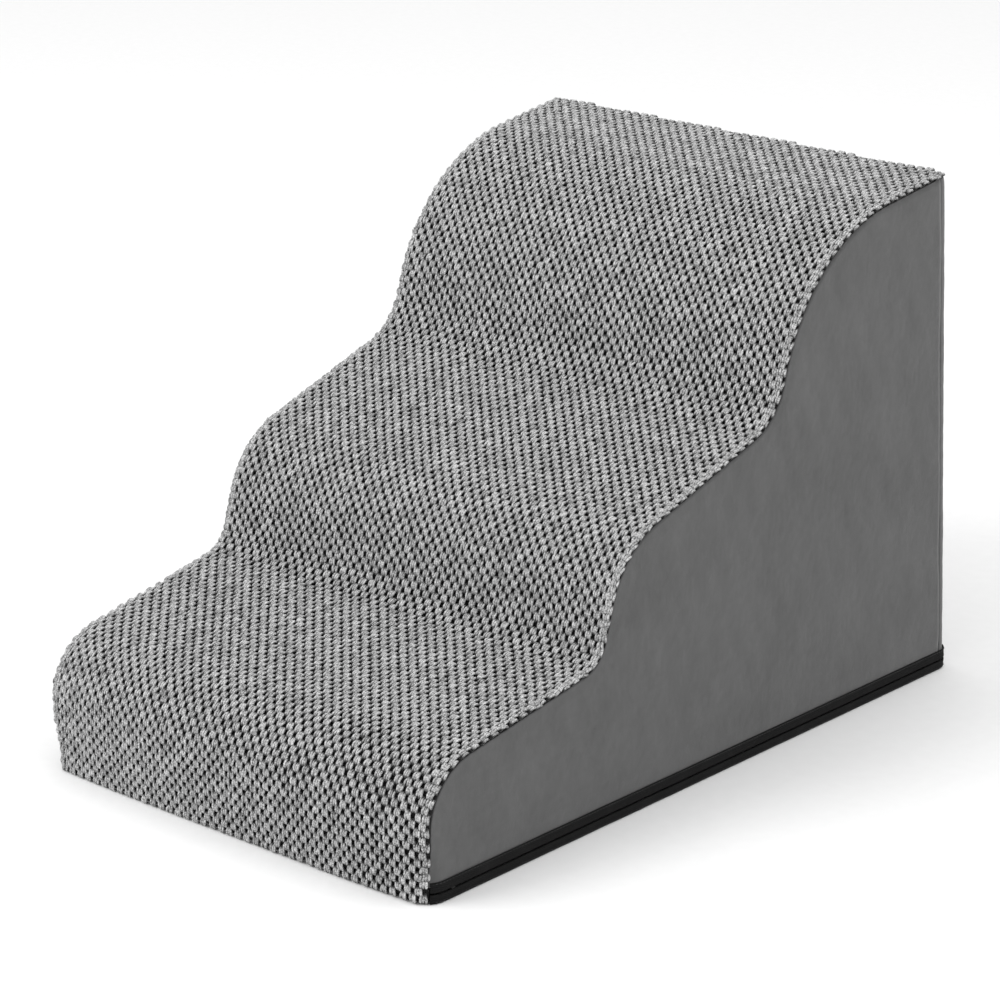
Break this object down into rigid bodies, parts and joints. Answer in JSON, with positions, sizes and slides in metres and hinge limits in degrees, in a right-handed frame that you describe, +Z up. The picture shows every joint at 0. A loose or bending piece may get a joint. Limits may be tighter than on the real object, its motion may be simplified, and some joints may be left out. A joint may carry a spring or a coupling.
{
  "type": "dog ramp",
  "caption": "Wave-shaped foam ramp with three rounded treads, in a knobbly grey loop-fabric and suede cover that zips round the foot.",
  "frame": {"origin": "on the floor, in the middle of the ramp's length and width", "axes": "+X to the right as a dog climbs, +Y from the low nose to the tall back wall, +Z up from the floor"},
  "size_m": [0.3954, 0.61, 0.4079],
  "materials": {
    "loop_fabric": "matte",
    "suede": "matte",
    "base_cloth": "matte",
    "zip_tape": "matte",
    "zip_coil": "satin",
    "zip_metal": "satin",
    "support_foam": "matte",
    "comfort_foam": "matte",
    "liner_cloth": "matte"
  },
  "bodies": {
    "ramp": {"base_panel": "base_cloth", "cover_back": "suede", "cover_side_left": "suede", "cover_side_right": "suede", "cover_tread": "loop_fabric", "foam_core": "support_foam", "foam_topper": "comfort_foam", "liner_side_left": "liner_cloth", "liner_side_right": "liner_cloth", "liner_wrap": "liner_cloth", "zip_bottom_stop": "zip_metal", "zip_coil_lower": "zip_coil", "zip_coil_upper": "zip_coil", "zip_tape_lower": "zip_tape", "zip_tape_upper": "zip_tape", "zip_top_stops": "zip_metal"},
    "slider": {"zip_slider": "zip_metal"},
    "pull_tab": {"zip_pull_tab": "zip_metal"}
  },
  "joints": [
    {"name": "zip_slide", "type": "slide", "parent": "ramp", "child": "slider", "axis": [-0.0164, 0.9999, 0], "range_m": [0, 0.54]},
    {"name": "pull_tab_swing", "type": "hinge", "parent": "slider", "child": "pull_tab", "pos_m": [-0.19104, -0.27204, 0.008], "axis": [0, 0, 1], "range_deg": [0, 175]}
  ]
}
